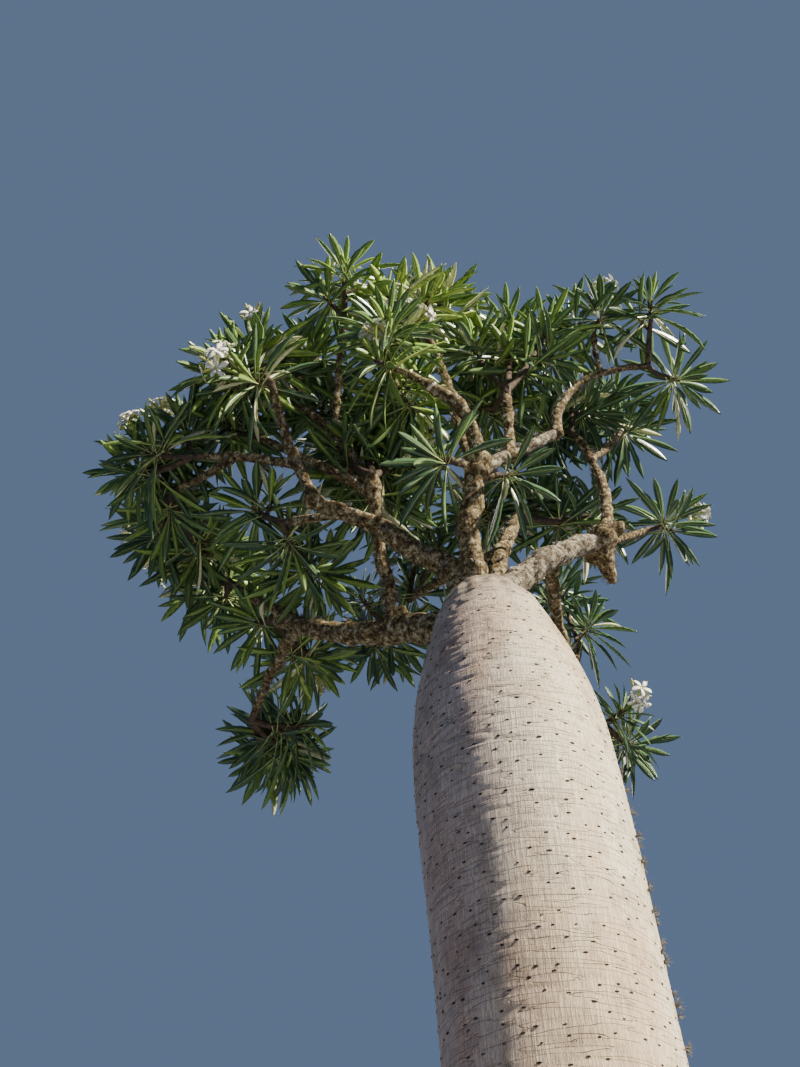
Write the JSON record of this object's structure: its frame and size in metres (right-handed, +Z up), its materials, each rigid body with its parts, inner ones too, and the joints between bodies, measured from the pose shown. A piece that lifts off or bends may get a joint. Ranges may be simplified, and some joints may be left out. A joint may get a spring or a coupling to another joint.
{
  "type": "pachypodium tree",
  "caption": "Pachypodium tree: a thick bottle-shaped trunk with a flared foot, bent boughs that fork at its top, and rosettes of long narrow leaves at the ends of the twigs",
  "frame": {"origin": "the middle of the trunk's flat cut, at ground level", "axes": "+Z up. +X to the right and +Y to the back of the view that the picture has. The trunk leans a little to -X"},
  "size_m": [2.8783, 2.4322, 6.1546],
  "materials": {
    "trunk_bark": "smooth silvery beige bark with rows of small dark scars",
    "limb_bark": "rough grey-brown bark with short spines and lichen",
    "leaves": "glossy dark green leaves with pale midribs, on brown twigs, with small white blossom"
  },
  "bodies": {
    "root": {"bough_back": "limb_bark", "bough_back_left": "limb_bark", "bough_centre": "limb_bark", "bough_far_back": "limb_bark", "bough_front": "limb_bark", "bough_front_left": "limb_bark", "bough_front_right": "limb_bark", "bough_front_twig_left": "limb_bark", "bough_front_twig_right": "limb_bark", "bough_inner_left": "limb_bark", "bough_left": "limb_bark", "bough_left_back": "limb_bark", "bough_left_reach": "limb_bark", "bough_left_reach_low": "limb_bark", "bough_left_riser": "limb_bark", "bough_left_under": "limb_bark", "bough_low_left": "limb_bark", "bough_low_left_back": "limb_bark", "bough_right": "limb_bark", "bough_right_back": "limb_bark", "bough_right_back_side": "limb_bark", "bough_right_reach": "limb_bark", "bough_right_riser": "limb_bark", "bough_right_side": "limb_bark", "bough_right_upper": "limb_bark", "bough_right_upper_side": "limb_bark", "bough_riser": "limb_bark", "bough_stub": "limb_bark", "bough_top": "limb_bark", "bough_top_left": "limb_bark", "bough_trailing_left": "limb_bark", "bough_upper_left": "limb_bark", "leaves_back": "leaves", "leaves_back_left": "leaves", "leaves_centre": "leaves", "leaves_far_back": "leaves", "leaves_front_left": "leaves", "leaves_front_twig_left": "leaves", "leaves_front_twig_right": "leaves", "leaves_inner_left": "leaves", "leaves_left_back": "leaves", "leaves_left_reach": "leaves", "leaves_left_reach_low": "leaves", "leaves_left_riser": "leaves", "leaves_left_under": "leaves", "leaves_low_left": "leaves", "leaves_low_left_back": "leaves", "leaves_right_back": "leaves", "leaves_right_back_side": "leaves", "leaves_right_reach": "leaves", "leaves_right_riser": "leaves", "leaves_right_side": "leaves", "leaves_right_upper": "leaves", "leaves_right_upper_side": "leaves", "leaves_riser": "leaves", "leaves_top": "leaves", "leaves_top_left": "leaves", "leaves_trailing_left": "leaves", "leaves_upper_left": "leaves", "trunk": "trunk_bark"}
  },
  "joints": []
}
